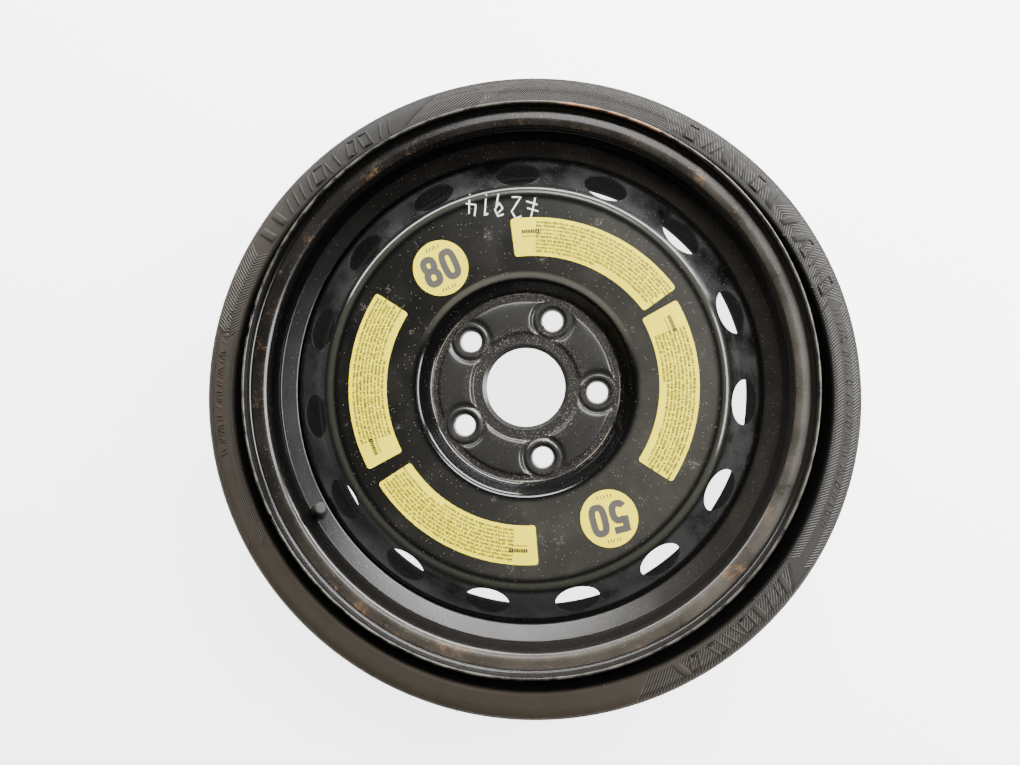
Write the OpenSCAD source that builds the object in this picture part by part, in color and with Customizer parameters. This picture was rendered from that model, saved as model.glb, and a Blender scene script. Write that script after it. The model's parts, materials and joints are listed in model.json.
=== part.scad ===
// Collapsible spare wheel: a pressed-steel car wheel with a folded, deflated tyre.
// The origin is the centre of the hub face, and +Z points outboard, out of the side
// that faces out when the wheel is bolted on. Outlines are given as [radius, height].

/* [Rim] */
// Diameter over the bead seats
seat_d = 462; // [450:0.5:474]
// Width between the two flanges
rim_w = 165.1; // [158:0.1:172]
// Distance of the rim's middle plane behind the hub face
rim_offset = 53; // [50:0.5:56]
// Thickness of the rim sheet
rim_t = 2.6; // [2.2:0.1:3]
// Height of the flanges above the bead seats
flange_h = 17.3; // [16:0.1:18.5]
// Width of a flange, from its wall to the end of its lip
flange_w = 13.5; // [12:0.1:15]
// Width of a bead seat
seat_l = 20; // [19:0.5:21]
// Height of the hump that keeps a bead on its seat
hump_h = 1; // [0.6:0.1:1.4]
// Length of the hump's slope
hump_l = 4; // [3:0.5:5]
// Depth of the well below the bead seats
well_h = 17.4; // [16:0.1:19]
// Length of the well's floor past the end of the disc's skirt
well_past_skirt = 14; // [12:1:18]
// Lean of the well's outboard slope, away from flat
slope_lean = 24; // [20:1:28]
// Depth of the inboard ledge below the bead seats
ledge_h = 4.5; // [3:0.5:6]
// Distance of the inboard ledge from the rim's middle plane
ledge_l = 41.3; // [38:0.1:44]
// Bend radius between a flange's wall and its lip
curl_r = 6.2; // [5:0.1:7]
// Bend radius between a bead seat and its flange
heel_r = 6.5; // [5.5:0.1:7]
// Bend radius at the humps and at the well's outboard corners
bend_r = 4; // [3.4:0.1:4.6]
// Bend radius of the well's inboard slope
wide_bend_r = 18; // [14:1:24]

/* [Disc] */
// Thickness of the disc at the hub
hub_t = 6; // [5.2:0.1:7]
// Thickness of the disc's skirt
skirt_t = 3.8; // [3.2:0.1:4.5]
// Radius at the foot of the bowl's wall
bowl_foot_r = 85.8; // [84:0.2:88]
// Width of the bowl's wall, seen from the front
bowl_wall_w = 10.6; // [9:0.2:13]
// Depth of the bowl
bowl_h = 11.6; // [9:0.2:13]
// Height of the crown above the bowl's top
crown_rise = 5.2; // [4:0.2:7]
// Bulge of the face between the bowl and the crown
face_bulge = 1; // [0.5:0.1:1.5]
// Width of the sloped band, from the crown to the skirt
band_w = 35.4; // [32:0.2:39]
// Fall of the sloped band, from the crown to the skirt
band_fall = 20; // [18:0.5:22]
// Height of the skirt below its bend
skirt_h = 44; // [38:1:50]
// Bend radius at the foot of the bowl's wall
bowl_foot_bend = 4.5; // [3:0.5:5]
// Bend radius at the top of the bowl's wall
bowl_top_bend = 7; // [5:0.5:8]
// Bend radius of the crown and of the skirt
crown_bend = 9; // [7:0.5:11]
// Bend radius of the face's bulge
face_bend = 160; // [120:10:200]

/* [Hub] */
// Diameter of the centre bore
bore_d = 71.6; // [66:0.1:74]
// Width of the bore's chamfer
bore_chamfer = 3.2; // [2:0.1:4]
// Diameter of the circle that the bolts stand on
bolt_circle_d = 130; // [127:0.5:133]
// Number of bolt holes
bolt_count = 5; // [4:1:6]
// Diameter of a bolt hole
bolt_hole_d = 18.4; // [16:0.1:19]
// Radius of the ball that a bolt's head seats in
ball_r = 14; // [13:0.5:15]
// Height of the boss round a bolt hole
boss_h = 1.6; // [1:0.1:2.4]
// Radius of the boss round a bolt hole, halfway up its side
boss_r = 18; // [17:0.2:19]
// Width of the boss's sloped side
boss_slope = 3; // [2:0.2:4]
// Height of the raised pads between the bolts
pad_h = 2.4; // [1.5:0.1:3]
// Reach of the pads inside the bolt circle
pad_in = 17; // [15:0.2:19]
// Reach of the pads outside the bolt circle
pad_out = 14.6; // [13:0.2:16]
// Width of the pads' sloped sides
pad_slope = 2.6; // [2:0.1:3.4]
// Clearance between a pad and a boss
pad_gap = 0.6; // [0.4:0.1:1.2]
// Depth of the relief behind the pads
relief_h = 1; // [0.5:0.1:1.8]

/* [Hand holes] */
// Number of hand holes in the sloped band
hand_count = 15; // [12:1:16]
// Length of a hand hole, round the wheel
hand_l = 40; // [34:1:44]
// Width of a hand hole, across the band
hand_w = 24.6; // [20:0.2:26]
// Distance of the hand holes' middle from the skirt
hand_from_skirt = 18.4; // [17:0.2:20]

/* [Welds] */
// Number of weld seams between the skirt and the well
weld_count = 8; // [4:1:10]
// Angle that one weld seam covers
weld_span = 26; // [16:1:30]
// Size of the weld's fillet
weld_leg = 3.4; // [2.5:0.1:3.8]

/* [Tyre] */
// Width of the folded tyre over its shoulders
tyre_w = 153; // [146:1:158]
// Height of the visible face, from the fold's mouth to the tread
face_h = 26.8; // [25:0.2:30]
// Thickness of the sidewall
side_t = 5.5; // [4.5:0.1:6.2]
// Thickness of the tread band
tread_t = 12; // [10:0.5:13]
// Clearance between the rim's lip and the folded sidewall over it
lip_clear = 2.9; // [2:0.1:4]
// Clear height of the folded gap, measured along the radius
fold_gap = 10; // [8:0.5:11]
// Distance from the middle plane to the end of the folded gap
fold_end = 24; // [20:1:30]
// Clearance between a bead and the rim's hump
bead_spare = 3; // [2:0.5:5]
// Depth of the tread grooves
groove_h = 3.5; // [2.5:0.1:4.5]
// Width of the tread grooves
groove_w = 6; // [4:0.5:8]
// Radius of the tread's shoulders
shoulder_r = 3.2; // [2.5:0.1:4]
// Drop of the tread from its middle to its shoulders
shoulder_drop = 1.4; // [0.8:0.1:2]

/* [Valve] */
// Angle of the valve round the wheel, from the first bolt hole
valve_angle = 215; // [210:1:220]
// Diameter of the valve hole in the rim
valve_hole_d = 11.3; // [10.8:0.1:11.8]
// Distance of the valve hole up the slope from the well's corner
valve_up = 10.4; // [10:0.1:10.8]
// Height of the rubber head inside the rim
head_h = 5.2; // [4:0.2:7]
// Overhang of the rubber head round the valve hole
head_lap = 1.6; // [1.2:0.1:2]
// Length of the rubber body above the rim
rubber_l = 22; // [20:0.5:24]
// Radius of the brass stem inside the rubber
stem_r = 3.2; // [3:0.1:3.4]
// Length of the bare threaded stem above the rubber body
thread_l = 9.5; // [8.5:0.1:11]
// Radius of the stem's outer thread
thread_r = 3.85; // [3.7:0.01:4]
// Thickness of the cap's end
cap_end_t = 2; // [1.4:0.1:2.6]
// Thickness of the cap's wall
cap_t = 1.4; // [1.2:0.05:1.8]
// Radius of the grooves down the cap's side
cap_groove_r = 0.45; // [0.3:0.05:0.6]
// Number of grooves round the cap
cap_groove_count = 20; // [12:1:24]
// Thickness of the seal in the cap
cap_seal_h = 1; // [0.8:0.1:1.2]
// Clearance between the cap and the stem's thread
cap_gap = 0.15; // [0.1:0.01:0.25]

/* [Valve core] */
// Radius of the core's pin
pin_r = 0.48; // [0.42:0.01:0.55]
// Gap for air round the core's pin
pin_gap = 0.25; // [0.2:0.01:0.3]
// Radius of the core's plug
plug_r = 2.55; // [2.4:0.05:2.6]
// Length of the core's plug
plug_l = 4; // [3.5:0.1:4.5]
// Depth of the core's plug below the stem's end
plug_sunk = 1; // [0.6:0.1:1.4]
// Length of the core's sleeve
sleeve_l = 9.5; // [9:0.1:10]
// Outer radius of the core's sleeve
sleeve_r = 1.9; // [1.8:0.05:2]
// Bore radius of the core's sleeve
sleeve_bore_r = 1.25; // [1.2:0.01:1.35]
// Travel of the pin
pin_travel = 1.2; // [0.8:0.1:1.4]
// Thickness of the seal on the pin
seal_h = 1.1; // [0.8:0.1:1.4]
// Radius of the spring's wire
spring_wire_r = 0.15; // [0.1:0.01:0.18]
// Turns of the spring
spring_turns = 6; // [4:1:8]

/* [Labels] */
// Thickness of a label
label_t = 0.25; // [0.15:0.01:0.4]
// Width of a long label, across its length
label_w = 34; // [30:0.5:36]
// Distance of the long labels' circle outside the middle of the face
label_out = 2; // [0:0.5:3]
// Angle that a long label covers
label_span = 61.5; // [55:0.5:62]
// Radius of a long label's corners
label_corner_r = 2.6; // [1.5:0.1:3.5]
// Diameter of a round label
round_label_d = 49.8; // [44:0.2:52]
// Distance of the round labels' circle inside the middle of the face
round_label_in = 2.5; // [0:0.5:4]
// Largest usual error in sticking a label on
label_slip = 3; // [0:0.5:3]

/* [Hidden] */

big_fn = 180;
small_fn = 36;
arc_step = 14;
cut = 1;

steel = [0.06, 0.06, 0.065];
rubber = [0.2, 0.18, 0.17];
brass = [0.72, 0.58, 0.32];
yellow = [0.98, 0.9, 0.2];

// Rim, seen in section
seat_taper = 5;
seat_r = seat_d / 2;
seat_end_r = seat_r - seat_l * tan(seat_taper);
well_r = seat_r - well_h;
lip_r = seat_r + flange_h;
mid_z = -rim_offset;
outboard_z = mid_z + rim_w / 2;
inboard_z = mid_z - rim_w / 2;
hump_z = outboard_z - seat_l - hump_l;
slope_top_r = seat_end_r + hump_h / 2;
slope_top_z = hump_z - hump_l * 0.875;
slope_bottom_z = slope_top_z - (slope_top_r - well_r) * tan(slope_lean);

// Disc, seen in section
disc_r = well_r - rim_t;
crown_r = disc_r - band_w;
bowl_top_r = bowl_foot_r + bowl_wall_w;
bowl_top_z = hub_t + bowl_h;
crown_z = bowl_top_z + crown_rise;
band_foot_z = crown_z - band_fall;
skirt_end_z = band_foot_z - skirt_h;
face_r = (bowl_top_r + crown_r) / 2;
face_z = (bowl_top_z + crown_z) / 2 + face_bulge;
well_end_z = skirt_end_z - well_past_skirt;

// Hub
bolt_r = bolt_circle_d / 2;
hole_r = bolt_hole_d / 2;
hole_wall = hub_t / 3;
ball_z = hole_wall + sqrt(pow(ball_r, 2) - pow(hole_r, 2));

// Tyre, seen in section: half of its width, outboard of the middle plane
layer_r = lip_r + lip_clear;
mouth_r = layer_r + fold_gap;
tread_r = mouth_r + face_h;
face_y = tyre_w / 2;
shoulder_y = face_y - shoulder_r;
bead_gap = 0.1;
bead_y = rim_w / 2 - bead_gap;
bead_w = seat_l - bead_spare;
toe_r = seat_r - bead_w * tan(seat_taper) + bead_gap;
toe_h = 6.5;
groove_places = [tyre_w * 0.1, tyre_w * 0.27];

// Valve, in its own frame: the origin is on the visible side of the rim sheet, +Z out of it
valve_hole_r = valve_hole_d / 2;
valve_r = well_r + valve_up * cos(slope_lean) - rim_t * sin(slope_lean);
valve_z = slope_bottom_z + valve_up * sin(slope_lean) + rim_t * cos(slope_lean);
head_r = valve_hole_r + head_lap;
head_z = -rim_t - head_h;
stem_top = rubber_l + thread_l;
fit = 0.1;
plug_z = stem_top - plug_sunk - plug_l;
stem_bore_r = plug_r + fit;
sleeve_z = plug_z - sleeve_l;
sleeve_end_t = sleeve_l / 8;
chamber_r = sleeve_r + fit;
chamber_z = sleeve_z - 2 * seal_h - 2 * pin_travel;
passage_r = stem_r / 2;
gasket_z = sleeve_z + sleeve_l / 2;
gasket_l = sleeve_l / 4;
collar_r = sleeve_bore_r - fit;
collar_z = plug_z - pin_travel - fit;
collar_h = pin_travel / 2;
spring_z = sleeve_z + sleeve_end_t;
cup_z = sleeve_z - seal_h;
cup_r = sleeve_r - fit;
cup_in_r = cup_r - fit;
cap_in_r = thread_r + cap_gap;
cap_r = cap_in_r + cap_t;
cap_foot_z = rubber_l + 2 * cap_gap;
cap_seal_z = stem_top + fit / 2;
cap_end_z = cap_seal_z + cap_seal_h + fit;
cap_top_z = cap_end_z + cap_end_t;

// Labels: an angle, then how far the label slipped in x and y, in shares of the usual slip
label_r = face_r + label_out;
round_label_r = face_r - round_label_in;
long_labels = [[2.2, -1, 0.15], [70.4, 2.2, -1.3], [182, -1, 0], [248.1, -0.2, -0.4]];
// Round labels: an angle, then how far the label slipped outwards
round_label_80 = [129.4, -1];
round_label_50 = [306.7, 1];

function unit(v) = v / norm(v);
function xy(p) = [p[0], p[1]];
function left_normal(a, b) = let(d = unit(b - a)) [-d[1], d[0]];

// An arc of the given radius that rounds the corner b between a and c
function corner_arc(a, b, c, r) =
    let(u = unit(a - b), v = unit(c - b), half = acos(max(-1, min(1, u * v))) / 2)
    r <= 0 || half > 89.6 ? [b] :
    let(centre = b + unit(u + v) * r / sin(half),
        p = b + u * r / tan(half),
        q = b + v * r / tan(half),
        from = atan2(p[1] - centre[1], p[0] - centre[0]),
        to = atan2(q[1] - centre[1], q[0] - centre[0]),
        turn = (to - from + 540) % 360 - 180,
        steps = max(2, ceil(abs(turn) / arc_step)))
    [for (i = [0:steps]) centre + r * [cos(from + turn * i / steps), sin(from + turn * i / steps)]];

// An open line through [x, y, radius] corners, with every inner corner rounded
function rounded_line(corners) =
    let(last = len(corners) - 1)
    [for (i = [0:last])
        each i == 0 || i == last
            ? [xy(corners[i])]
            : corner_arc(xy(corners[i - 1]), xy(corners[i]), xy(corners[i + 1]), corners[i][2])];

// A closed outline through [x, y, radius] corners, with every corner rounded
function rounded_outline(corners) =
    let(n = len(corners))
    [for (i = [0:n - 1])
        each corner_arc(xy(corners[(i + n - 1) % n]), xy(corners[i]), xy(corners[(i + 1) % n]),
                        corners[i][2])];

// The line moved sideways by t[i] at each point, to its left where t is positive
function moved_line(line, t) =
    let(last = len(line) - 1)
    [for (i = [0:last])
        let(before = left_normal(line[max(0, i - 1)], line[max(1, i)]),
            after = left_normal(line[min(last - 1, i)], line[min(last, i + 1)]),
            middle = unit(before + after))
        line[i] + middle * t[i] / (middle * after)];

function reversed(list) = [for (i = [len(list) - 1:-1:0]) list[i]];
function sheet_outline(line, t) = concat(line, reversed(moved_line(line, t)));
function mirrored(corners) = [for (p = reversed(corners)) [p[0], -p[1], p[2]]];

module turned(outline, fn = big_fn) {
    rotate_extrude($fn = fn) polygon(outline);
}

module place_valve() {
    rotate([0, 0, valve_angle])
        translate([valve_r, 0, valve_z])
            rotate([0, -slope_lean, 0])
                children();
}

// The rim sheet's tyre side, from the outboard lip to the inboard one
rim_line = rounded_line([
    [lip_r, outboard_z + flange_w, 0],
    [lip_r, outboard_z, curl_r],
    [seat_r, outboard_z, heel_r],
    [seat_end_r, outboard_z - seat_l, bend_r],
    [seat_end_r + hump_h, hump_z, bend_r],
    [slope_top_r, slope_top_z, bend_r],
    [well_r, slope_bottom_z, bend_r],
    [well_r, well_end_z, wide_bend_r],
    [seat_r - ledge_h, mid_z - ledge_l, 2 * wide_bend_r],
    [seat_end_r + hump_h, 2 * mid_z - hump_z, bend_r],
    [seat_end_r, inboard_z + seat_l, bend_r],
    [seat_r, inboard_z, heel_r],
    [lip_r, inboard_z, curl_r],
    [lip_r, inboard_z - flange_w, 0]
]);

module rim_barrel() {
    color(steel)
        difference() {
            turned(sheet_outline(rim_line, [for (p = rim_line) -rim_t]));
            place_valve()
                translate([0, 0, -rim_t - cut])
                    cylinder(h = rim_t + 2 * cut, r = valve_hole_r, $fn = small_fn);
        }
}

// The disc's visible side, from the bore out to the end of the skirt
disc_line = rounded_line([
    [bore_d / 2, hub_t, 0],
    [bowl_foot_r, hub_t, bowl_foot_bend],
    [bowl_top_r, bowl_top_z, bowl_top_bend],
    [face_r, face_z, face_bend],
    [crown_r, crown_z, crown_bend],
    [disc_r, band_foot_z, crown_bend],
    [disc_r, skirt_end_z, 0]
]);
disc_thickness = [[bowl_foot_r, hub_t], [crown_r, skirt_t * 1.1], [disc_r, skirt_t]];

module at_bolts() {
    for (i = [0:bolt_count - 1])
        rotate([0, 0, i * 360 / bolt_count])
            translate([bolt_r, 0, 0])
                children();
}

// Pads between the bolts: a ring with sloped sides, cleared round each boss
module hub_pads(bottom, top, inset) {
    in_r = bolt_r - pad_in + inset;
    out_r = bolt_r + pad_out - inset;
    clear_r = boss_r + pad_gap + inset;
    difference() {
        turned([
            [in_r, bottom], [out_r, bottom],
            [out_r - pad_slope, top], [in_r + pad_slope, top]
        ]);
        at_bolts()
            translate([0, 0, bottom - cut])
                cylinder(h = top - bottom + 2 * cut, r1 = clear_r, r2 = clear_r + pad_slope,
                         $fn = small_fn * 2);
    }
}

module boss() {
    translate([0, 0, hub_t / 2])
        cylinder(h = hub_t / 2 + boss_h, r1 = boss_r + boss_slope, r2 = boss_r - boss_slope,
                 $fn = small_fn * 2);
}

module bolt_seat() {
    translate([0, 0, -cut])
        cylinder(h = hub_t + boss_h + 2 * cut, r = hole_r, $fn = small_fn * 2);
    translate([0, 0, ball_z])
        sphere(r = ball_r, $fn = small_fn * 2);
}

function oval(length, width) =
    [for (a = [0:12:348]) [width / 2 * cos(a), length / 2 * sin(a)]];

module hand_holes() {
    for (i = [0:hand_count - 1])
        rotate([0, 0, i * 360 / hand_count])
            translate([disc_r - hand_from_skirt, 0, band_foot_z - hub_t])
                linear_extrude(height = band_fall + 2 * hub_t)
                    polygon(oval(hand_l, hand_w));
}

module wheel_disc() {
    color(steel)
        difference() {
            union() {
                turned(sheet_outline(disc_line, [for (p = disc_line) -lookup(p[0], disc_thickness)]));
                hub_pads(hub_t / 2, hub_t + pad_h, 0);
                at_bolts()
                    boss();
            }
            hub_pads(-cut, relief_h, pad_slope);
            at_bolts()
                bolt_seat();
            translate([0, 0, hub_t - bore_chamfer / 2])
                cylinder(h = bore_chamfer, r1 = bore_d / 2, r2 = bore_d / 2 + 2 * bore_chamfer,
                         $fn = big_fn);
            hand_holes();
        }
}

module disc_welds() {
    swell = 0.62 * weld_leg;
    color(steel)
        for (i = [0:weld_count - 1])
            rotate([0, 0, (i + 0.5) * 360 / weld_count - weld_span / 2])
                rotate_extrude(angle = weld_span, $fn = big_fn)
                    polygon([
                        [disc_r, skirt_end_z],
                        [disc_r - weld_leg, skirt_end_z],
                        [disc_r - swell, skirt_end_z - swell],
                        [disc_r, skirt_end_z - weld_leg]
                    ]);
}

// Radius of the tread's surface at a distance from the middle plane
function crown_at(y) = tread_r - shoulder_drop * pow(y / shoulder_y, 2);

function groove(y) = [
    [crown_at(y - groove_w / 2), y - groove_w / 2, 0],
    [crown_at(y) - groove_h, y - groove_w / 3, 0],
    [crown_at(y) - groove_h, y + groove_w / 3, 0],
    [crown_at(y + groove_w / 2), y + groove_w / 2, 0]
];

// Half of the tyre's section: out along the tread, round the folded sidewall
// to the bead, and back along the cavity
fold_r = fold_gap / 2 - fit / 2;
inner_y = face_y - 1.5 * side_t;
tyre_half = concat(
    groove(groove_places[0]),
    groove(groove_places[1]),
    [
        [crown_at(shoulder_y - 4 * shoulder_r), shoulder_y - 4 * shoulder_r, 0],
        [crown_at(shoulder_y), shoulder_y, shoulder_r],
        [(tread_r + mouth_r) / 2 + shoulder_r, face_y, 6 * shoulder_r],
        [mouth_r + shoulder_r / 3, face_y - shoulder_r / 3, shoulder_r],
        [mouth_r, fold_end, fold_r],
        [layer_r, fold_end, fold_r],
        [layer_r, bead_y, heel_r],
        [seat_r + bead_gap, bead_y, heel_r + 1],
        [toe_r, bead_y - bead_w, toe_h / 4],
        [toe_r + toe_h, bead_y - bead_w + toe_h / 6, toe_h / 2],
        [layer_r - side_t, bead_y - 1.8 * side_t, heel_r],
        [layer_r - side_t, fold_end - side_t, fold_r + side_t],
        [mouth_r + side_t, fold_end - side_t, fold_r + side_t],
        [mouth_r + side_t, inner_y, side_t / 2],
        [tread_r - tread_t, inner_y, side_t / 2]
    ]
);

module tyre() {
    color(rubber)
        translate([0, 0, mid_z])
            turned(rounded_outline(concat(tyre_half, mirrored(tyre_half))));
}

module valve_body() {
    color(rubber)
        place_valve()
            turned([
                [stem_r, head_z], [head_r - head_lap, head_z], [head_r, head_z + head_lap],
                [head_r, -rim_t], [valve_hole_r, -rim_t], [valve_hole_r, 0],
                [valve_hole_r + head_lap / 3, 0], [valve_hole_r + head_lap, head_h / 2],
                [valve_hole_r + head_lap / 2, rubber_l - 1.5 * head_h],
                [valve_hole_r, rubber_l - 1], [valve_hole_r - head_lap / 3, rubber_l],
                [stem_r, rubber_l]
            ], small_fn);
}

module valve_stem() {
    chamfer = (thread_r - stem_bore_r) / 2;
    color(brass)
        place_valve()
            turned([
                [passage_r, head_z], [stem_r, head_z], [stem_r, rubber_l], [thread_r, rubber_l],
                [thread_r, stem_top - chamfer], [thread_r - chamfer, stem_top],
                [stem_bore_r, stem_top], [stem_bore_r, gasket_z + gasket_l],
                [chamber_r, gasket_z], [chamber_r, chamber_z], [passage_r, chamber_z - pin_travel]
            ], small_fn);
}

module core_plug() {
    slot_w = pin_r + 2 * pin_gap;
    color(brass)
        place_valve()
            difference() {
                turned([
                    [pin_r + 2 * pin_gap, plug_z], [plug_r, plug_z],
                    [plug_r, plug_z + plug_l], [pin_r + 2 * pin_gap, plug_z + plug_l]
                ], small_fn);
                translate([0, 0, plug_z + plug_l])
                    cube([2 * plug_r + cut, slot_w, plug_l / 2], center = true);
            }
}

module core_sleeve() {
    hole_in_end = pin_r + pin_gap;
    color(brass)
        place_valve()
            turned([
                [hole_in_end, sleeve_z], [sleeve_r, sleeve_z], [sleeve_r, plug_z],
                [sleeve_bore_r, plug_z], [sleeve_bore_r, spring_z], [hole_in_end, spring_z]
            ], small_fn);
}

module core_gasket() {
    color("white")
        place_valve()
            turned([
                [sleeve_r, gasket_z + fit], [chamber_r - fit / 5, gasket_z + fit],
                [stem_bore_r - fit / 2, gasket_z + gasket_l - fit], [sleeve_r, gasket_z + gasket_l - fit]
            ], small_fn);
}

module core_pin() {
    pin_z = cup_z - seal_h - pin_r;
    color("silver")
        place_valve()
            turned([
                [0, pin_z], [pin_r, pin_z], [pin_r, collar_z], [collar_r, collar_z],
                [collar_r, collar_z + collar_h], [pin_r, collar_z + collar_h],
                [pin_r, stem_top - pin_r], [0, stem_top - pin_r / 2]
            ], small_fn);
}

// A round wire wound from height z0 to z1, as one closed surface
module coil(r, wire_r, z0, z1, turns) {
    sides = 6;
    per_turn = 14;
    rings = turns * per_turn;
    points = [for (i = [0:rings], k = [0:sides - 1])
        let(a = 360 * i / per_turn, b = 360 * k / sides,
            z = z0 + (z1 - z0) * i / rings)
        [(r + wire_r * cos(b)) * cos(a), (r + wire_r * cos(b)) * sin(a), z + wire_r * sin(b)]];
    walls = [for (i = [0:rings - 1], k = [0:sides - 1])
        let(j = (k + 1) % sides)
        [i * sides + k, (i + 1) * sides + k, (i + 1) * sides + j, i * sides + j]];
    first = [for (k = [0:sides - 1]) k];
    last = [for (k = [sides - 1:-1:0]) rings * sides + k];
    polyhedron(points, concat([first], walls, [last]));
}

module core_spring() {
    color("silver")
        place_valve()
            coil(collar_r - spring_wire_r, spring_wire_r, spring_z + spring_wire_r,
                 collar_z - spring_wire_r, spring_turns);
}

module core_cup() {
    color(brass)
        place_valve()
            turned([
                [pin_r, cup_z - seal_h * 0.7], [cup_r, cup_z - seal_h * 0.7], [cup_r, cup_z + seal_h / 2],
                [cup_in_r, cup_z + seal_h / 2], [cup_in_r, cup_z], [pin_r, cup_z]
            ], small_fn);
}

module core_seal() {
    color(rubber)
        place_valve()
            turned([
                [pin_r, cup_z], [cup_in_r, cup_z],
                [cup_in_r, sleeve_z - fit / 5], [pin_r, sleeve_z - fit / 5]
            ], small_fn);
}

module valve_cap() {
    edge = cap_t / 2;
    color([0.12, 0.12, 0.12])
        place_valve()
            difference() {
                turned([
                    [cap_in_r, cap_foot_z], [cap_r - edge, cap_foot_z], [cap_r, cap_foot_z + edge],
                    [cap_r, cap_top_z - 2 * edge], [cap_r - 2 * edge, cap_top_z - edge / 3],
                    [0, cap_top_z], [0, cap_end_z], [cap_in_r, cap_end_z]
                ], small_fn);
                for (i = [0:cap_groove_count - 1])
                    rotate([0, 0, i * 360 / cap_groove_count])
                        translate([cap_r + cap_groove_r / 2, 0, cap_foot_z + 2 * edge])
                            cylinder(h = cap_top_z - cap_foot_z, r = cap_groove_r, $fn = 16);
            }
}

module cap_seal() {
    color([0.3, 0.3, 0.3])
        place_valve()
            translate([0, 0, cap_seal_z])
                cylinder(h = cap_seal_h, r = cap_in_r - fit, $fn = small_fn);
}

// The skin of the disc's face that a label follows, as thick as the label
label_line = [for (p = disc_line) if (p[0] > bowl_top_r && p[0] < crown_r) p];

module label_skin() {
    turned(concat(label_line, reversed(moved_line(label_line, [for (p = label_line) label_t]))));
}

function arc_label_outline() =
    let(steps = 20, half = label_span / 2,
        out_r = label_r + label_w / 2, in_r = label_r - label_w / 2,
        outer = [for (i = [0:steps])
            let(a = -half + label_span * i / steps)
            [out_r * cos(a), out_r * sin(a), i == 0 || i == steps ? label_corner_r : 0]],
        inner = [for (i = [0:steps])
            let(a = half - label_span * i / steps)
            [in_r * cos(a), in_r * sin(a), i == 0 || i == steps ? label_corner_r : 0]])
    rounded_outline(concat(outer, inner));

module info_label(i) {
    label = long_labels[i];
    color(yellow)
        intersection() {
            label_skin();
            translate([label[1] * label_slip, label[2] * label_slip, hub_t])
                rotate([0, 0, label[0]])
                    linear_extrude(height = crown_z)
                        polygon(arc_label_outline());
        }
}

module speed_label(place) {
    color(yellow)
        intersection() {
            label_skin();
            rotate([0, 0, place[0]])
                translate([round_label_r + place[1] * label_slip, 0, hub_t])
                    cylinder(h = crown_z, r = round_label_d / 2, $fn = small_fn * 2);
        }
}

tyre();
rim_barrel();
wheel_disc();
disc_welds();
valve_body();
valve_stem();
core_plug();
core_sleeve();
core_gasket();
core_pin();
core_spring();
core_cup();
core_seal();
valve_cap();
cap_seal();
info_label(0);  // info_label_1
info_label(1);  // info_label_2
info_label(2);  // info_label_3
info_label(3);  // info_label_4
speed_label(round_label_80);  // speed_label_80
speed_label(round_label_50);  // speed_label_50
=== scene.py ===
"""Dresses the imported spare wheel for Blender.

The rim and the folded tyre are meshed here from the same sections as the CAD part. The disc,
the welds, the labels and the parts of the valve keep their CAD meshes; the hub's pads, the
tyre's relief, the labels' print and the pen marks are laid over them. Tables are in
millimetres, in the part's frame, and angles in degrees round the wheel's axis.
"""
import math
import random
import json

import bpy
from mathutils import Matrix, Vector


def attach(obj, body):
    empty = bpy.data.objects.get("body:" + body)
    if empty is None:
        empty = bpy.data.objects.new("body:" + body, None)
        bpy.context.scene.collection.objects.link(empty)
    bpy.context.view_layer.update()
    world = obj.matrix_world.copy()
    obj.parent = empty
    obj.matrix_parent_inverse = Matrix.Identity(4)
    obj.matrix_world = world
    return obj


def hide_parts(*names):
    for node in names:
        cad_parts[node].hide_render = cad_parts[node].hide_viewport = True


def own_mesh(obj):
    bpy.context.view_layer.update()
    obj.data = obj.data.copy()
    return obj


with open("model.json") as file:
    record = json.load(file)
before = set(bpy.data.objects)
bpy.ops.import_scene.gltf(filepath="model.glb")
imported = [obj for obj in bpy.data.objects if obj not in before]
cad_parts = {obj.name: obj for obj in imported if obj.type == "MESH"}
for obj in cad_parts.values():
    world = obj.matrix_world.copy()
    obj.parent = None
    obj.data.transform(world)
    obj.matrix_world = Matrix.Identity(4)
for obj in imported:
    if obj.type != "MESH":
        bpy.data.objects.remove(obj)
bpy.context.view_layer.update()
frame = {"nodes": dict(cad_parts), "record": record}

MM = 0.001
FLOOR_Z = -149.05
BOLT_COUNT, BOLT_RING = 5, 65.0
CAP_STEPS = 6
RUBBER_SHINE = 0.3
random.seed(11)


# ---------------------------------------------------------------- outlines

def rounded(corners, step=8):
    """The line through [radius, height, bend] corners, each bend drawn as an arc."""
    line = []
    for i, corner in enumerate(corners):
        bend = corner[2] if len(corner) > 2 else 0
        here = Vector(corner[:2])
        if not bend or i in (0, len(corners) - 1):
            line.append(here)
            continue
        back = (Vector(corners[i - 1][:2]) - here).normalized()
        ahead = (Vector(corners[i + 1][:2]) - here).normalized()
        turn = math.pi - back.angle(ahead)
        if turn < 1e-3:
            line.append(here)
            continue
        reach = bend * math.tan(turn / 2)
        middle = here + (back + ahead).normalized() * bend / math.cos(turn / 2)
        start = here + back * reach - middle
        count = max(2, math.ceil(math.degrees(turn) / step))
        spin = turn if start.cross(here + ahead * reach - middle) > 0 else -turn
        for k in range(count + 1):
            line.append(middle + Matrix.Rotation(spin * k / count, 2) @ start)
    return line


def shifted(line, by):
    """The line moved sideways, to its right."""
    moved = []
    for i, point in enumerate(line):
        way = (line[min(i + 1, len(line) - 1)] - line[max(i - 1, 0)]).normalized()
        moved.append(point + Vector((way.y, -way.x)) * by)
    return moved


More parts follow.
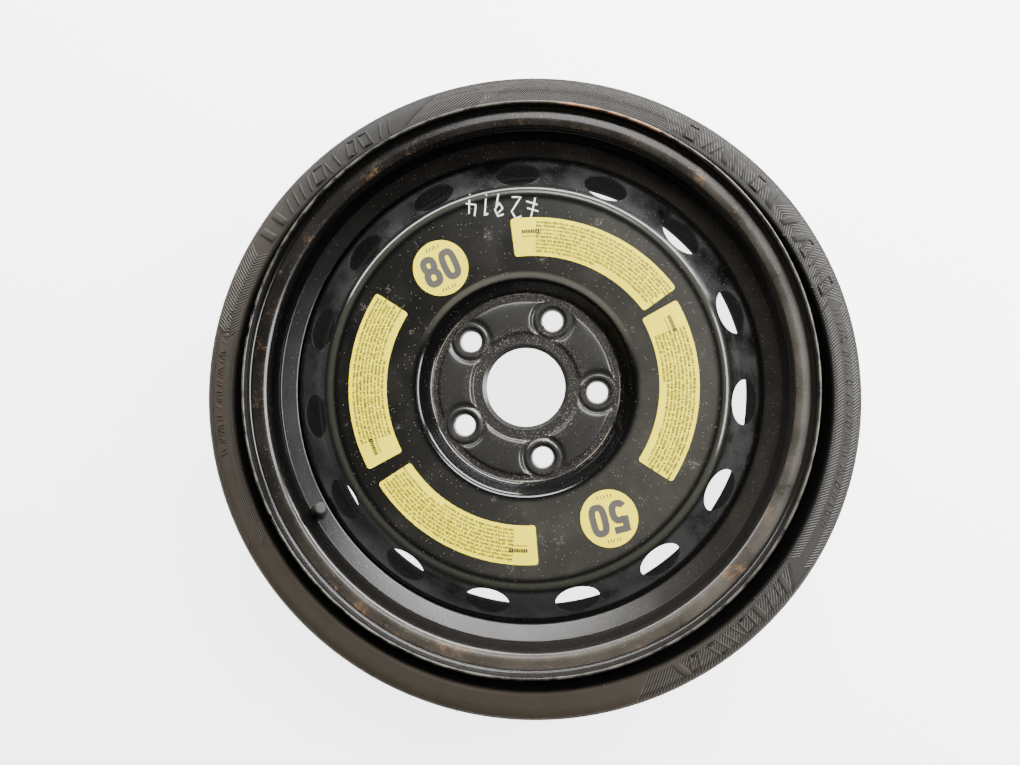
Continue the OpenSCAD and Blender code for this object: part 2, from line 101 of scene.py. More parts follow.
def sheet(corners, thickness, step=8):
    """The closed outline of sheet metal whose left side follows the corners, with round ends."""
    line = rounded(corners, step)
    half = thickness / 2
    line[0] = line[0] + (line[1] - line[0]).normalized() * half
    line[-1] = line[-1] + (line[-2] - line[-1]).normalized() * half
    back = shifted(line, thickness)

    def cap(start, end):
        middle = (start + end) / 2
        turns = [Matrix.Rotation(-math.pi * k / CAP_STEPS, 2) for k in range(1, CAP_STEPS)]
        return [middle + turn @ (start - middle) for turn in turns]

    return line + cap(line[-1], back[-1]) + back[::-1] + cap(back[0], line[0])


def height_at(line, radius):
    """The height of a line at a radius, where the line runs outward."""
    for a, b in zip(line, line[1:]):
        if a.x <= radius <= b.x and b.x > a.x:
            return a.y + (b.y - a.y) * (radius - a.x) / (b.x - a.x)
    return line[-1].y


# ---------------------------------------------------------------- meshes

def piece(name, points, faces, body, slot, material, smooth=True):
    """A mesh piece from points in millimetres, riding on a body."""
    mesh = bpy.data.meshes.new(name)
    mesh.from_pydata([Vector(p) * MM for p in points], [], faces)
    mesh.polygons.foreach_set("use_smooth", [smooth] * len(mesh.polygons))
    mesh.materials.append(material)
    mesh.update()
    thing = bpy.data.objects.new(name, mesh)
    bpy.context.collection.objects.link(thing)
    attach(thing, body)
    return thing


def turned(outline, columns, change=lambda p: p):
    """Points and faces of a closed outline turned round the axis."""
    count = len(outline)
    points, faces = [], []
    for k in range(columns):
        angle = 2 * math.pi * k / columns
        c, s = math.cos(angle), math.sin(angle)
        points += [change(Vector((p.x * c, p.x * s, p.y))) for p in outline]
    for k in range(columns):
        a, b = k * count, (k + 1) % columns * count
        faces += [(a + i, b + i, b + (i + 1) % count, a + (i + 1) % count) for i in range(count)]
    return points, faces


def spot(radius, angle, height):
    """A place from its radius, its angle in degrees and its height."""
    a = math.radians(angle)
    return Vector((radius * math.cos(a), radius * math.sin(a), height))


# ---------------------------------------------------------------- materials

class Coat:
    """A procedural material, built step by step on a Principled shader."""

    def __init__(self, name, **fixed):
        self.material = bpy.data.materials.new(name)
        self.material.use_nodes = True
        self.tree = self.material.node_tree
        self.shader = self.tree.nodes["Principled BSDF"]
        for socket, value in fixed.items():
            self.shader.inputs[socket.replace("_", " ")].default_value = value
        self.place = self.node("ShaderNodeTexCoord").outputs["Object"]

    def node(self, kind, inputs=None, **settings):
        made = self.tree.nodes.new(kind)
        for key, value in settings.items():
            setattr(made, key, value)
        for key, value in (inputs or {}).items():
            if isinstance(value, bpy.types.NodeSocket):
                self.tree.links.new(value, made.inputs[key])
            else:
                made.inputs[key].default_value = value
        return made

    def radius(self):
        """Distance from the wheel's axis, in millimetres."""
        flat = self.node("ShaderNodeVectorMath", {0: self.place, 1: (1000, 1000, 0)},
                         operation="MULTIPLY")
        length = self.node("ShaderNodeVectorMath", {0: flat.outputs[0]}, operation="LENGTH")
        return length.outputs["Value"]

    def axis(self, letter):
        """One coordinate, in millimetres."""
        parts = self.node("ShaderNodeSeparateXYZ", {0: self.place})
        return self.math("MULTIPLY", parts.outputs[letter], 1000)

    def noise(self, grain, detail=3, rough=0.6):
        """Noise from 0 to 1 with grains of that many millimetres."""
        made = self.node("ShaderNodeTexNoise", {"Vector": self.place, "Scale": 1000 / grain,
                                                "Detail": detail, "Roughness": rough})
        return made.outputs["Fac"]

    def specks(self, grain, share):
        """Small round specks, 1 inside and 0 outside, on about that share of the cells."""
        made = self.node("ShaderNodeTexVoronoi", {"Vector": self.place, "Scale": 1000 / grain})
        lot = self.node("ShaderNodeSeparateColor", {0: made.outputs["Color"]}).outputs[0]
        chosen = self.math("LESS_THAN", lot, share)
        return self.times(self.step(made.outputs["Distance"], 0.32, 0.12), chosen)

    def math(self, operation, a, b=0.0, c=0.0):
        return self.node("ShaderNodeMath", {0: a, 1: b, 2: c}, operation=operation).outputs[0]

    def times(self, *values):
        """The product of the values."""
        product = values[0]
        for value in values[1:]:
            product = self.math("MULTIPLY", product, value)
        return product

    def toward(self, x, y, share_x, share_y):
        """How far a place lies in one direction."""
        return self.math("MULTIPLY_ADD", x, share_x, self.times(y, share_y))

    def step(self, value, low, high):
        """0 at low, 1 at high, smooth between."""
        made = self.node("ShaderNodeMapRange", {"Value": value, "From Min": low, "From Max": high},
                         interpolation_type="SMOOTHSTEP")
        return made.outputs["Result"]

    def band(self, value, low, high, soft):
        """1 between low and high, fading out over soft."""
        start = self.step(value, low - soft, low + soft)
        return self.times(start, self.step(value, high + soft, high - soft))

    def mix(self, share, a, b):
        made = self.node("ShaderNodeMix", data_type="RGBA")
        for index, value in ((0, share), (6, a), (7, b)):
            if isinstance(value, bpy.types.NodeSocket):
                self.tree.links.new(value, made.inputs[index])
            else:
                made.inputs[index].default_value = (*value, 1) if index else value
        return made.outputs[2]

    def blend(self, share, a, b):
        """A number from a to b."""
        made = self.node("ShaderNodeMapRange", {"Value": share, "To Min": a, "To Max": b})
        return made.outputs["Result"]

    def bump(self, height, depth):
        """The normal of a bump of that many millimetres."""
        inputs = {"Height": height, "Strength": 1.0, "Distance": depth * MM}
        return self.node("ShaderNodeBump", inputs).outputs["Normal"]

    def wear(self, **sockets):
        """Links or sets the shader's inputs and gives the material back."""
        for socket, value in sockets.items():
            target = self.shader.inputs[socket.replace("_", " ")]
            if isinstance(value, bpy.types.NodeSocket):
                self.tree.links.new(value, target)
            else:
                target.default_value = (*value, 1) if isinstance(value, tuple) else value
        return self.material


def rubber(name, clean, brown, dust):
    """Matte rubber, dusty, browner towards one side, darker on the tread, and painted black in the
    fold and by the beads as shade.
    """
    c = Coat(name, Specular_IOR_Level=RUBBER_SHINE)
    x, y, z, r = c.axis("X"), c.axis("Y"), c.axis("Z"), c.radius()
    cloud = c.noise(34, 4)
    grain = c.noise(1.1)
    side = c.step(c.toward(x, y, -0.6, -0.8), -90, 190)
    color = c.mix(side, clean, brown)
    color = c.mix(c.times(c.step(cloud, 0.4, 0.75), 0.35), color, tuple(v * 0.55 for v in brown))
    color = c.mix(c.times(c.step(grain, 0.52, 0.8), 0.4), color, dust)
    tread = c.times(c.step(z, 18, 14), c.step(r, 270, 276))
    color = c.mix(c.times(tread, 0.75), color, (0.014, 0.013, 0.012))
    # Painted shade: the fold's gap and the rubber by the beads are painted near black
    fold = c.times(c.step(z, 20.5, 15), c.step(r, 277, 273))
    color = c.mix(c.math("MAXIMUM", fold, c.step(r, 253, 251)), color, (0.0034, 0.0034, 0.0034))
    return c.wear(Base_Color=color, Roughness=c.blend(cloud, 0.6, 0.75), Normal=c.bump(grain, 0.05))


PAINT_BLACK = (0.0022, 0.0022, 0.0022)


def rim_paint():
    """Black paint, dusty on the flange and the ledge, worn bare at the lip's edge, painted lighter
    towards the lower right as light and one even dark tone behind the disc as shade.
    """
    c = Coat("rim_paint")
    x, y, z, r = c.axis("X"), c.axis("Y"), c.axis("Z"), c.radius()
    cloud = c.noise(38, 5)
    fine = c.noise(2.2, 5, 0.75)
    # Painted light: this mask makes the paint lighter towards the lower right, the lit side; the
    # dust is thicker there too
    dust_and_light_side = c.step(c.toward(x, y, 0.9, -0.45), -230, 180)
    flange = c.times(c.band(r, 231, 242.5, 0.8), c.step(z, 26, 31))
    ledge = c.times(c.band(r, 214, 228, 1.5), c.band(z, -9, 4, 2))
    dusty = c.times(c.math("MAXIMUM", flange, c.times(ledge, 0.35)), c.blend(dust_and_light_side, 0.25, 1.0))
    dust = c.times(dusty, c.blend(c.step(cloud, 0.3, 0.7), 0.35, 1.0))
    color = c.mix(dust, c.mix(dust_and_light_side, PAINT_BLACK, (0.013, 0.0118, 0.0105)), (0.058, 0.05, 0.039))
    color = c.mix(c.times(dusty, c.step(fine, 0.56, 0.72)), color, (0.12, 0.1, 0.075))
    rust = c.times(flange, c.times(c.step(c.noise(26, 3), 0.56, 0.68), c.step(fine, 0.42, 0.58)))
    color = c.mix(c.times(rust, 0.8), color, (0.1768, 0.102, 0.0544))
    specks = c.times(c.specks(1.5, 0.08), c.blend(dusty, 0.2, 0.8))
    color = c.mix(specks, color, (0.272, 0.2448, 0.204))
    edge = c.times(c.step(z, 41.9, 42.6), c.step(c.noise(14, 4), 0.35, 0.6))
    copper = c.times(c.band(x, 15, 110, 12), c.step(y, 200, 220))
    color = c.mix(edge, color, c.mix(copper, (0.0816, 0.0748, 0.0612), (0.272, 0.136, 0.0748)))
    # Painted shade: the barrel's inside behind the disc is given one even dark tone
    behind_disc_shade = c.times(c.step(z, -13, -18), c.step(r, 230, 226))
    color = c.mix(behind_disc_shade, color, (0.009, 0.009, 0.008))
    rough = c.math("ADD", c.blend(dust, 0.17, 0.42), c.times(specks, 0.3))
    return c.wear(Base_Color=color, Roughness=rough, Normal=c.bump(fine, 0.012))


def worn_and_sheen_seats(c, x, y, r):
    """1 on the patches round the bolt holes that are worn bare and painted light as the seats'
    reflection.
    """
    turn = c.math("ARCTAN2", y, x)
    pitch = 2 * math.pi / BOLT_COUNT
    turn = c.math("SUBTRACT", turn, c.times(c.math("ROUND", c.math("DIVIDE", turn, pitch)), pitch))
    across = c.times(r, c.math("SINE", turn))
    along = c.math("SUBTRACT", c.times(r, c.math("COSINE", turn)), BOLT_RING)
    seat = c.math("SQRT", c.math("MULTIPLY_ADD", across, across, c.times(along, along)))
    return c.times(c.step(seat, 10.7, 9.9), c.step(c.noise(7, 3), 0.3, 0.5))


def disc_paint():
    """Glossy black paint, dirty on the hub plate, satin under the labels, worn bare at the bolts,
    with reflections painted on its bends, its bolt seats and its satin band.
    """
    c = Coat("disc_paint")
    r, x, y = c.radius(), c.axis("X"), c.axis("Y")
    cloud = c.noise(45, 5)
    fine = c.noise(1.7, 6, 0.8)
    plate = c.step(r, 87, 83)
    satin = c.band(r, 101, 168, 3)
    crown_sheen_ring = c.band(r, 172, 178, 2)
    outside = c.band(r, 181, 206, 2.5)
    # Painted reflection: the side mask makes the satin band lighter towards the lower right; the
    # dust on it is thicker there too
    dust_and_light_side = c.step(c.toward(x, y, 0.95, -0.3), -160, 150)
    color = c.mix(satin, PAINT_BLACK, c.mix(dust_and_light_side, (0.004, 0.004, 0.0033), (0.028, 0.0265, 0.0225)))
    color = c.mix(plate, color, (0.0204, 0.0197, 0.0184))
    # Painted reflection: the crown's bend is painted as a grey olive ring
    color = c.mix(crown_sheen_ring, color, (0.0306, 0.0306, 0.0238))
    color = c.mix(c.times(outside, c.step(cloud, 0.3, 0.6)), color, (0.0306, 0.0313, 0.0299))
    dusty = c.times(satin, c.step(cloud, 0.45, 0.75), c.blend(dust_and_light_side, 0.15, 0.55))
    color = c.mix(dusty, color, (0.051, 0.0476, 0.0394))
    # Painted highlight: the top side of the bend from the satin band into the bowl is painted light
    # grey, broken by the cloud
    bend = c.times(c.band(r, 97.5, 102.5, 1.5), c.step(y, 20, 80))
    color = c.mix(c.times(bend, c.blend(cloud, 0.5, 0.9)), color, (0.0816, 0.0762, 0.0612))
    rings = c.math("MAXIMUM", c.band(r, 78, 87, 2.5), c.band(r, 40, 54, 4))
    crust = c.times(plate, c.step(fine, 0.52, 0.7), c.blend(rings, 0.1, 0.8))
    color = c.mix(crust, color, (0.136, 0.1054, 0.0748))
    bright = c.times(c.specks(1.5, 0.3), c.times(rings, c.step(cloud, 0.35, 0.6)))
    color = c.mix(bright, color, (0.4216, 0.3672, 0.2924))
    specks = c.times(c.specks(1.4, 0.07), c.blend(satin, 0.5, 0.9))
    color = c.mix(specks, color, (0.204, 0.1904, 0.17))
    scuff = c.times(satin, c.step(c.noise(24, 2), 0.64, 0.72), c.step(fine, 0.5, 0.62))
    color = c.mix(c.times(scuff, 0.75), color, (0.204, 0.1904, 0.1632))
    # Worn bare round the bolt holes, and painted light there as the seats' reflection
    color = c.mix(worn_and_sheen_seats(c, x, y, r), color, (0.2856, 0.2788, 0.2584))
    line = c.times(c.band(r, 84.2, 84.9, 0.3), c.step(cloud, 0.4, 0.6))
    color = c.mix(line, color, (0.204, 0.1768, 0.136))
    rough = c.math("ADD", c.blend(satin, 0.12, 0.24), c.times(plate, 0.12))
    rough = c.math("ADD", rough, c.times(c.math("MAXIMUM", crust, specks), 0.35))
    return c.wear(Base_Color=color, Roughness=rough, Normal=c.bump(fine, 0.010))


def plain(name, base, rough, metal=0.0, grain=1.0, shine=0.5):
    """One colour with a faint cloud in it and a fine grain."""
    c = Coat(name, Metallic=metal, Specular_IOR_Level=shine)
    cloud = c.noise(grain, 4)
    color = c.mix(cloud, tuple(v * 0.8 for v in base), base)
    rough = c.blend(cloud, rough, rough + 0.15)
    return c.wear(Base_Color=color, Roughness=rough, Normal=c.bump(cloud, 0.01))


MATERIALS = {
    "tyre_rubber": rubber("tyre_rubber", (0.025, 0.024, 0.023), (0.045, 0.036, 0.025),
                          (0.1, 0.09, 0.077)),
    "rim_paint": rim_paint(),
    "disc_paint": disc_paint(),
    "weld_paint": plain("weld_paint", (0.0082, 0.0082, 0.0082), 0.35, grain=6),
    "valve_rubber": plain("valve_rubber", (0.0082, 0.0082, 0.0082), 0.5),
    "valve_brass": plain("valve_brass", (0.62, 0.45, 0.2), 0.3, 1.0),
    "core_steel": plain("core_steel", (0.55, 0.54, 0.5), 0.3, 1.0),
    "gasket_plastic": plain("gasket_plastic", (0.7, 0.66, 0.58), 0.4),
    "cap_plastic": plain("cap_plastic", (0.0306, 0.0279, 0.0245), 0.5),
    "label_film": plain("label_film", (1.0, 0.84, 0.0), 0.45, grain=12, shine=0.3),
}
# Lit and shaded copies of the rubber for the face's fine ribs: the ribs are lighter, from dust and
# from light painted on the ridges, and the ground between them is painted dark as shade
RIB_DUST_AND_SHEEN_RUBBER = rubber("rib_dust_and_sheen_rubber", (0.136, 0.1292, 0.119), (0.1156, 0.102, 0.085),
                    (0.2312, 0.2176, 0.1972))
VALLEY_SHADE_RUBBER = rubber("valley_shade_rubber", (0.015, 0.0136, 0.0122), (0.0204, 0.0177, 0.0136),
                       (0.04, 0.036, 0.031))
INK = plain("label_ink", (0.022, 0.018, 0.006), 0.5)
PEN = plain("pen_paint", (0.8, 0.8, 0.78), 0.5)
NUMERAL_INK = plain("numeral_ink", (0.068, 0.0612, 0.053), 0.5)

for part in frame["record"]["subparts"]:
    node = frame["nodes"][part["node"]]
    node.data.materials.clear()
    node.data.materials.append(MATERIALS[part["material_slot"]])


# ---------------------------------------------------------------- rim

RIM_SIDE = [
    (248.3, 43.05), (248.3, 29.55, 6.2), (231, 29.55, 6.5), (229.25, 9.55, 4), (230.25, 5.55, 4),
    (229.75, 2.05, 4), (213.6, -5.14, 4), (213.6, -55.2, 18), (226.5, -94.3, 36),
    (230.25, -111.55, 4), (229.25, -115.55, 4), (231, -135.55, 6.5), (248.3, -135.55, 6.2),
    (248.3, -149.05),
]
RIM_THICKNESS = 2.6
RIM_COLUMNS = 480

rim = piece("rim_barrel_dressed", *turned(sheet(RIM_SIDE, RIM_THICKNESS)[::-1], RIM_COLUMNS),
            "wheel", "rim_paint", MATERIALS["rim_paint"])
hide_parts("rim_barrel")


# ---------------------------------------------------------------- tyre

TYRE_MID_Z = -53
TREAD_R, TREAD_DROP, TREAD_HALF, TREAD_EDGE = 288, 1.4, 73.3, 70
GROOVE_DEPTH = 3.5
TYRE_SIDE = [
    (286.6, 73.3, 3.2), (277.8, 76.5, 19.2), (262.3, 75.4, 3.2), (261.2, 24, 4.95),
    (251.2, 24, 4.95), (251.2, 82.45, 6.5), (231.1, 82.45, 7.5), (229.6, 65.45, 1.6),
    (236.1, 66.5, 3.25), (245.7, 72.55, 6.5), (245.7, 18.5, 10.45), (266.7, 18.5, 10.45),
    (266.7, 68.25, 2.75), (276, 68.25, 2.75),
]


def crown(y):
    """The tread's radius at a distance from the tyre's middle plane."""
    return TREAD_R - TREAD_DROP * (y / TREAD_HALF) ** 2


SETTLE = Vector((0.4, -6.0, 0))
OVAL = Vector((2.5, -2.5, 0))
FREE_R, FREE_BAND = 250, 10
COLUMNS = 480


def settled(point):
    """The folded tyre hangs a little to one side of its beads."""
    radius = math.hypot(point.x, point.y)
    share = min(1, max(0, (radius - FREE_R) / FREE_BAND))
    share = share * share * (3 - 2 * share)
    out = Vector((point.x, point.y, 0)) / radius
    stretch = Vector((OVAL.x * out.x ** 3, OVAL.y * abs(out.y) * out.y, 0))
    return point + share * (SETTLE + stretch)


# The outline is open under the tread, which is a piece of its own
half = [(crown(TREAD_EDGE), TREAD_EDGE)] + TYRE_SIDE
outline = rounded(half + [(r, -y, *bend) for r, y, *bend in reversed(half)])
outline = [p + Vector((0, TYRE_MID_Z)) for p in outline]
points, faces = turned(outline, COLUMNS, settled)
count = len(outline)
faces = [f for f in faces if f[0] % count < count - 1]
tyre = piece("tyre_dressed", points, faces, "wheel", "tyre_rubber", MATERIALS["tyre_rubber"])
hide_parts("tyre")

# The tread: height over the middle plane, and how deep the round and the cross grooves are there
TREAD_ROWS = [
    (0, 0, 0), (6, 0, 0), (12.3, 0, 0), (13, 1, 0), (17.6, 1, 0), (18.3, 0, 0), (20.9, 0, 0),
    (21.3, 0, 1), (28.3, 0, 1), (35.3, 0, 1), (35.7, 0, 0), (38.3, 0, 0), (39, 1, 0), (43.6, 1, 0),
    (44.3, 0, 0), (52, 0, 0), (61, 0, 0), (TREAD_EDGE, 0, 0),
]
# The cross grooves: where they lie, and the columns of one pitch as (place, depth)
CROSS_GROOVES, CROSS_MIDDLE, CROSS_HALF, CROSS_LEAN = 48, 28.3, 7.1, 0.53
GROOVE_COLUMNS = [(-1.5, 0), (-1.2, 1), (1.2, 1), (1.5, 0)] + [(6 + 5 * k, 0) for k in range(6)]

rows = [(-y, *rest) for y, *rest in reversed(TREAD_ROWS[1:])] + TREAD_ROWS
points, faces = [], []
for k in range(CROSS_GROOVES):
    for across, groove in GROOVE_COLUMNS:
        for y, deep, cross in rows:
            lean = CROSS_LEAN * max(-CROSS_HALF, min(CROSS_HALF, abs(y) - CROSS_MIDDLE))
            angle = 360 * k / CROSS_GROOVES + math.degrees((across + lean) / TREAD_R)
            radius = crown(y) - GROOVE_DEPTH * max(deep, cross * groove)
            points.append(settled(spot(radius, angle, TYRE_MID_Z + y)))
wide = CROSS_GROOVES * len(GROOVE_COLUMNS)
for k in range(wide):
    a, b = k * len(rows), (k + 1) % wide * len(rows)
    faces += [(a + i, b + i, b + i + 1, a + i + 1) for i in range(len(rows) - 1)]
tread = piece("tyre_tread", points, faces, "wheel", "tyre_rubber", MATERIALS["tyre_rubber"])
tread.data.set_sharp_from_angle(angle=math.radians(35))
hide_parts("tyre")


# ---------------------------------------------------------------- pressed pads of the hub plate

PLATE_Z, PAD_TOP = 6.0, 2.4
PAD_IN, PAD_OUT, BOSS_CLEAR = 49.4, 78.2, 20.0
PAD_SIDE, PAD_SKIRT, PAD_DOME, PAD_REACH = 1.16, 2.5, 0.9, 4.0
CORNER_ROUND = 0.8
SUNK = 0.15


def pad_height(radius, angle):
    """Height of the pads' pressed surface over the plate, with soft edges; below 0 outside them."""
    place = spot(radius, angle, 0)
    bolt = spot(BOLT_RING, 360 / BOLT_COUNT * round(angle * BOLT_COUNT / 360), 0)
    limits = (radius - PAD_IN, PAD_OUT - radius, (place - bolt).length - BOSS_CLEAR)
    sharp = PAD_TOP * min(1, max(0, min(limits) / PAD_SIDE))
    inside = -CORNER_ROUND * math.log(sum(math.exp(-d / CORNER_ROUND) for d in limits))
    share = min(1, max(0, (inside + PAD_SKIRT) / (PAD_SKIRT + PAD_SIDE)))
    dome = PAD_DOME * (1 - math.exp(-max(0, inside) / PAD_REACH))
    smooth = (PAD_TOP + 0.25) * share * share * (3 - 2 * share) + dome - SUNK
    return max(smooth, sharp + 0.08 if sharp else -SUNK)


points, faces = [], []
radii = [46 + 0.7 * i for i in range(51)]
PAD_COLUMNS = 450
for k in range(PAD_COLUMNS):
    angle = 360 * k / PAD_COLUMNS
    points += [spot(r, angle, PLATE_Z + pad_height(r, angle)) for r in radii]
for k in range(PAD_COLUMNS):
    a, b = k * len(radii), (k + 1) % PAD_COLUMNS * len(radii)
    for i in range(len(radii) - 1):
        face = (a + i, a + i + 1, b + i + 1, b + i)
        if max(points[p].z for p in face) > PLATE_Z - 0.1:
            faces.append(face)
used = sorted({p for face in faces for p in face})
order = {p: i for i, p in enumerate(used)}
points = [points[p] for p in used]
faces = [tuple(order[p] for p in face) for face in faces]
piece("hub_pads_dressed", points, faces, "wheel", "disc_paint", MATERIALS["disc_paint"])


# ---------------------------------------------------------------- spring in the valve

spring = bpy.data.objects.new("core_spring_coil", frame["nodes"]["core_spring"].data.copy())
bpy.context.collection.objects.link(spring)
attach(spring, "wheel")
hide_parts("core_spring")
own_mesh(spring)


# ---------------------------------------------------------------- relief on the tyre's face

FACE_LINE = [p + Vector((0, TYRE_MID_Z)) for p in rounded([(crown(60), 60), *TYRE_SIDE[:4]])[::-1]]
BURIED = 0.15


class Skin:
    """Collects patches of surface that follow a line turned round the axis."""

    def __init__(self, line, change=lambda p: p):
        self.line, self.change = line, change
        self.points, self.faces = [], []

    def add(self, rows):
        """A grid of (radius, angle, lift) rows."""
        start, wide = len(self.points), len(rows[0])
        for row in rows:
            for r, a, lift in row:
                self.points.append(self.change(spot(r, a, height_at(self.line, r) + lift)))
        for i in range(len(rows) - 1):
            for j in range(wide - 1):
                at = start + i * wide + j
                self.faces.append((at, at + 1, at + wide + 1, at + wide))

    def ridge(self, way, half, lift):
        """A sharp rib along (radius, angle) points."""
        left, top, right = [], [], []
        for i, (r, a) in enumerate(way):
            r0, a0 = way[max(i - 1, 0)]
            r1, a1 = way[min(i + 1, len(way) - 1)]
            along = Vector((r1 - r0, math.radians(a1 - a0) * r)).normalized()
            dr, da = -along.y * half, math.degrees(along.x * half / r)
            left.append((r + dr, a + da, -0.1))
            top.append((r, a, lift))
            right.append((r - dr, a - da, -0.1))
        self.add([left, top, right])

    def slab(self, r0, r1, a0, a1, skew, lift, edge=0.9):
        """A raised block with sloped sides, leaning by skew degrees."""
        rows = []
        side = math.degrees(edge / r0)
        marks = (a0, a0 + side, *(a0 + (a1 - a0) * t for t in (0.35, 0.65)), a1 - side, a1)
        for r in (r0, r0 + edge, *(r0 + (r1 - r0) * t for t in (0.3, 0.5, 0.7)), r1 - edge, r1):
            lean = skew * (r - r0) / (r1 - r0)
            tops = [r0 < r < r1 and 0 < i < len(marks) - 1 for i in range(len(marks))]
            rows.append([(r, a + lean, lift if top else -BURIED) for a, top in zip(marks, tops)])
        self.add(rows)


def steps(way, count=3):
    """The way with its stretches cut into shorter ones."""
    fine = [way[0]]
    for a, b in zip(way, way[1:]):
        fine += [tuple(u + (v - u) * k / count for u, v in zip(a, b)) for k in range(1, count + 1)]
    return fine


# Fine ribs: first and last angle, pitch, half width, and the way of one rib as (radius, turn)
RIBS = [
    (66, 104, 0.42, 0.42, [(263.5, 0), (273.5, -2.2), (283.2, 0)]),
    (104, 120, 0.9, 0.5, [(263.5, 0), (282.6, -8.5)]),
    (40, 66, 0.62, 0.6, [(263.5, 0), (283.2, 3.4)]),
    (20, 40, 0.62, 0.6, [(263.5, 0), (272, 1.9), (283.2, 0)]),
    (-28, 20, 0.56, 0.55, [(263.5, 0), (270.5, 1.2)]),
    (-28, 20, 0.56, 0.5, [(278.5, 0), (283.2, 0.8)]),
    (-62, -28, 0.62, 0.6, [(263.5, 0), (283.2, -4.0)]),
    (155, 172, 0.62, 0.6, [(263.5, 0), (272, 1.7), (283.2, 0)]),
    (172, 213, 0.5, 0.5, [(263.5, 0), (270.5, 1.5)]),
    (172, 213, 0.5, 0.45, [(279.5, 0), (283.5, 0.8)]),
]
RIB_HEIGHT, RING_RADII, RING_HEIGHT = 0.42, (284.2, 285.3), 0.3
ribs, valleys = Skin(FACE_LINE, settled), Skin(FACE_LINE, settled)
for first, last, pitch, half_width, way in RIBS:
    for k in range(int((last - first) / pitch)):
        rib = [(r, first + k * pitch + turn) for r, turn in way]
        ribs.ridge(steps(rib), half_width, RIB_HEIGHT)
    # The ground between the ribs, painted dark as the shade between them
    low, high = way[0][0], way[-1][0]
    angles = [first + way[0][1] + (last - first) * k / 60 for k in range(61)]
    middle_turn = way[len(way) // 2][1]
    marks = []
    for t in (0, 0.17, 0.33, 0.5, 0.67, 0.83, 1):
        turn = middle_turn * (1 - abs(2 * t - 1)) if len(way) > 2 else way[-1][1] * t
        marks.append((low + (high - low) * t, turn))
    valleys.add([[(r, a + turn, 0.06) for a in angles] for r, turn in marks])
for radius in RING_RADII:
    ribs.ridge([(radius, 360 * k / COLUMNS) for k in range(COLUMNS + 1)], 0.3, RING_HEIGHT)
piece("tyre_ribs", ribs.points, ribs.faces, "wheel", "tyre_rubber", RIB_DUST_AND_SHEEN_RUBBER, smooth=False)
piece("tyre_valley_shade", valleys.points, valleys.faces, "wheel", "tyre_rubber", VALLEY_SHADE_RUBBER)


def rod(points, faces, start, end, r0, r1, sides=8):
    """Adds a tapered rod from start to end."""
    ahead = (end - start).normalized()
    out = ahead.orthogonal().normalized()
    spins = [Matrix.Rotation(2 * math.pi * k / sides, 3, ahead) for k in range(sides)]
    a = len(points)
    b = a + sides
    for place, r in ((start, r0), (end, r1)):
        points += [place + spin @ out * r for spin in spins]
    faces += [(a + k, a + (k + 1) % sides, b + (k + 1) % sides, b + k) for k in range(sides)]
    faces.append(tuple(b + k for k in range(sides)))


# Moulding nubs at the fold's mouth, and vent hairs on the shoulder
points, faces = [], []
for angle in (35.8, 24.5, -38, -71, 118, 199):
    foot, tip = settled(spot(263.4, angle, 21.6)), settled(spot(261.2, angle, 23.4))
    rod(points, faces, foot, tip, 0.9, 0.5)
for angle in (84.9, 141, 262):
    foot, tip = settled(spot(286.4, angle, 12)), settled(spot(290.2, angle, 13))
    rod(points, faces, foot, tip, 0.5, 0.35)
piece("tyre_nubs", points, faces, "wheel", "tyre_rubber", MATERIALS["tyre_rubber"])

# Raised blocks: first and last angle, number, inner and outer radius, height
BLOCKS = [
    (22, 64, 11, 266.5, 281.5, 0.9),
    (121, 155, 9, 266.0, 281.0, 0.9),
    (-58, -29, 8, 266.0, 281.0, 0.9),
    (168, 196, 18, 271.5, 277.5, 0.4),
    (-20, 20, 22, 272.5, 278.0, 0.4),
]
blocks = Skin(FACE_LINE, settled)
for first, last, count, low, high, lift in BLOCKS:
    pitch = (last - first) / count
    for k in range(count):
        a = first + k * pitch
        wide = pitch * random.uniform(0.62, 0.8)
        bar = min(0.3 * pitch, math.degrees(2.8 / low))
        skew = random.choice((-0.35, 0, 0.35)) * pitch
        kind = random.choice(("block", "bars", "frame", "frame", "bars"))
        if kind == "block":
            blocks.slab(low, high, a, a + wide * 0.6, skew, lift)
        else:
            blocks.slab(low, high, a, a + bar, skew, lift)
            blocks.slab(low, high, a + wide - bar, a + wide, skew, lift)
        if kind == "frame":
            tall = 0.2 * (high - low)
            start, end = a + bar * 0.7, a + wide - bar * 0.7
            blocks.slab(low, low + tall, start, end, 0, lift)
            blocks.slab(high - tall, high, start + skew, end + skew, 0, lift)
piece("tyre_relief", blocks.points, blocks.faces, "wheel", "tyre_rubber", MATERIALS["tyre_rubber"])


# ---------------------------------------------------------------- print on the labels

DISC_SIDE = [
    (35.8, 6), (85.8, 6, 4.5), (96.4, 17.6, 7), (136, 21.2, 160), (175.6, 22.8, 9), (211, 2.8, 9),
    (211, -41.2),
]
DISC_LINE = rounded(DISC_SIDE, 4)
FILM = 0.25
PRINT_LIFT = 0.12
# Long labels: middle angle and sideways shift
LONG_LABELS = [(2.2, (-3, 0.45)), (70.4, (6.6, -3.9)), (182, (-3, 0)), (248.1, (-0.6, -1.2))]
LABEL_SPAN, ROW_PITCH, ROW_COUNT, FIRST_ROW = 61.5, 3.2, 9, 124.1
LABEL_R = 138
# Foot and top of the letters over their row
LETTERS = ((0, 1.8), (0, 1.8), (0, 2.3), (-0.5, 1.8), (0.4, 1.4))


def disc_spot(place, lift):
    """A point lifted off the disc's face."""
    return Vector((place.x, place.y, height_at(DISC_LINE, math.hypot(place.x, place.y)) + lift))


